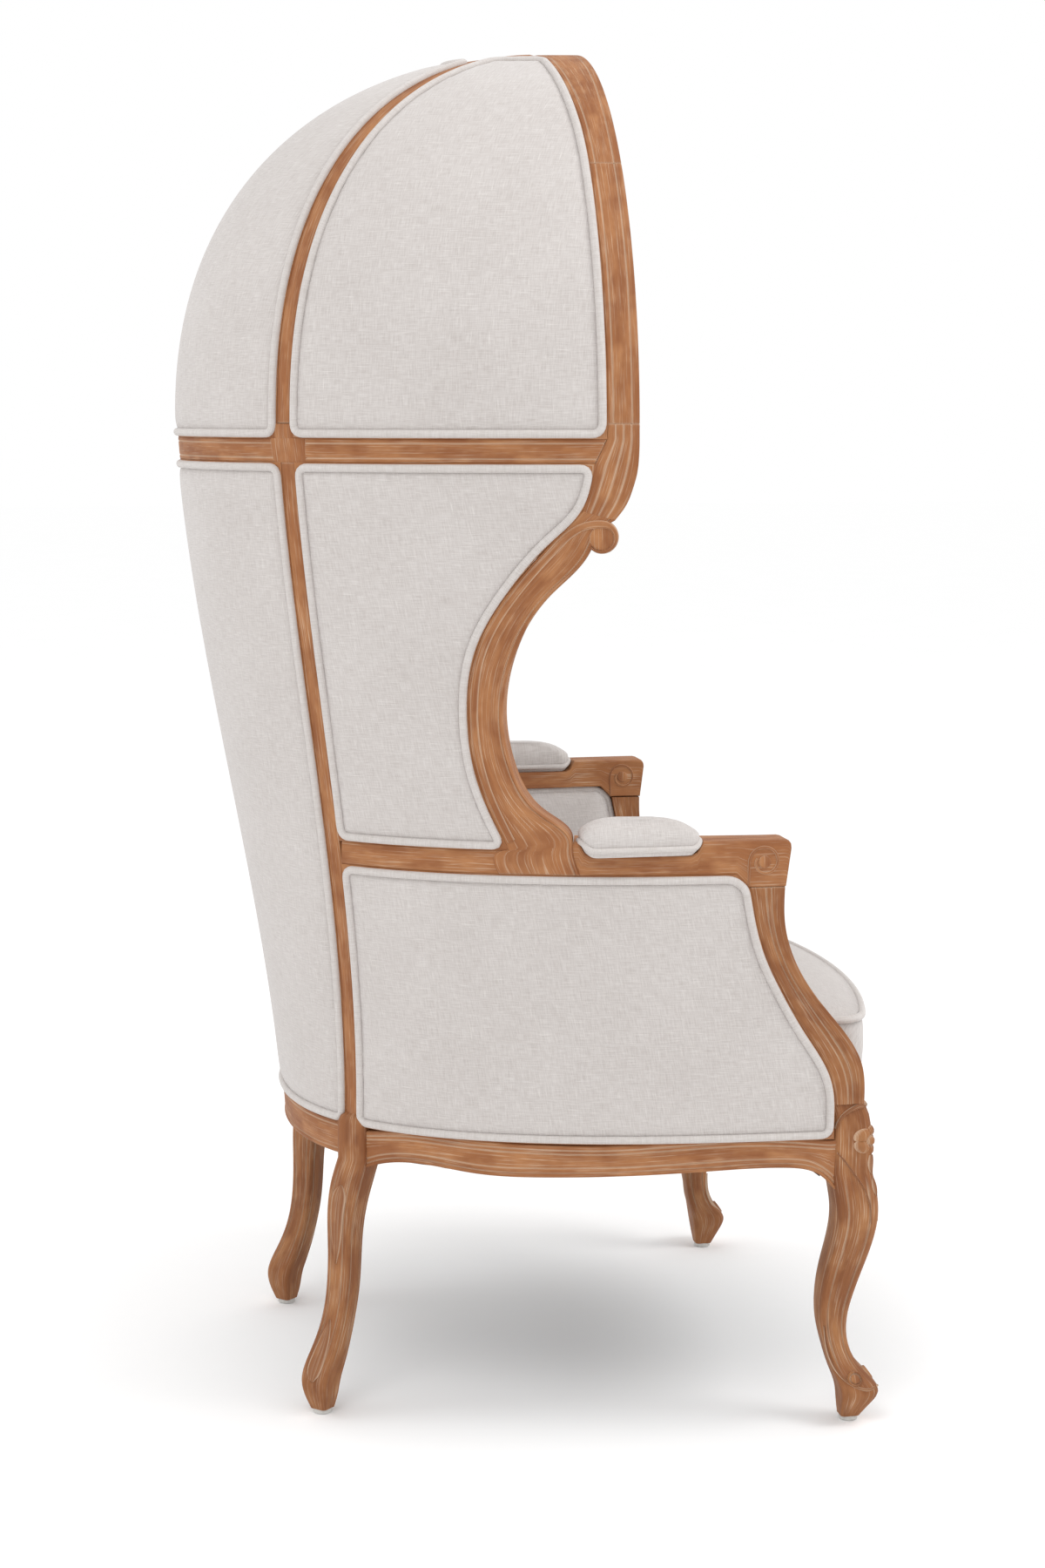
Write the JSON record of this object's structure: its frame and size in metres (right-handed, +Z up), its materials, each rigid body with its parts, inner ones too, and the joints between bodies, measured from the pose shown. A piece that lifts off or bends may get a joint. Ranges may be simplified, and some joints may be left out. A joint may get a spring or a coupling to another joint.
{
  "type": "hall porter chair",
  "caption": "Hooded porter's chair with a domed canopy, C-shaped wings, padded open arms, sprung seat and cabriole legs in show-wood and linen.",
  "frame": {"origin": "on the floor at the middle of the chair's bounding box", "axes": "+Z up, -Y the way the sitter looks, +X to the sitter's left"},
  "size_m": [0.7654, 0.813, 1.5796],
  "materials": {
    "show_wood": "limed, matt",
    "frame_wood": "bare",
    "linen": "plain woven linen",
    "piping": "self piping in linen",
    "webbing": "woven jute",
    "hessian": "coarse jute",
    "dust_cloth": "thin black cloth",
    "steel": "zinc plated",
    "glide": "satin nylon"
  },
  "bodies": {
    "root": {"arch_crown": "show_wood", "arch_post_left": "show_wood", "arch_post_right": "show_wood", "arm_cover_left": "linen", "arm_cover_right": "linen", "arm_pad_left": "linen", "arm_pad_piping": "piping", "arm_pad_right": "linen", "arm_rail_left": "show_wood", "arm_rail_right": "show_wood", "arm_support_left": "show_wood", "arm_support_right": "show_wood", "back_cover": "linen", "back_webbing": "webbing", "corner_blocks": "frame_wood", "corner_screws": "steel", "dust_cover": "dust_cloth", "front_leg_left": "show_wood", "front_leg_right": "show_wood", "glides": "glide", "hood_back_cover": "linen", "hood_lining": "linen", "hood_rail_left": "show_wood", "hood_rail_rear": "show_wood", "hood_rail_right": "show_wood", "hood_rib_left": "show_wood", "hood_rib_right": "show_wood", "hood_shoulder_left": "show_wood", "hood_shoulder_right": "show_wood", "hood_side_cover_left": "linen", "hood_side_cover_right": "linen", "inside_arm_left": "linen", "inside_arm_right": "linen", "inside_back": "linen", "inside_wing_left": "linen", "inside_wing_right": "linen", "piping_back": "piping", "piping_left": "piping", "piping_right": "piping", "rail_dowels": "frame_wood", "rear_leg_left": "show_wood", "rear_leg_right": "show_wood", "rear_stile_left": "show_wood", "rear_stile_right": "show_wood", "rib_block_left": "show_wood", "rib_block_right": "show_wood", "seat_hessian": "hessian", "seat_pad": "linen", "seat_piping": "piping", "seat_rail_front": "show_wood", "seat_rail_left": "show_wood", "seat_rail_rear": "show_wood", "seat_rail_right": "show_wood", "seat_springs": "steel", "spring_clips": "steel", "wing_cover_left": "linen", "wing_cover_right": "linen", "wing_frame_left": "show_wood", "wing_frame_right": "show_wood"}
  },
  "joints": []
}
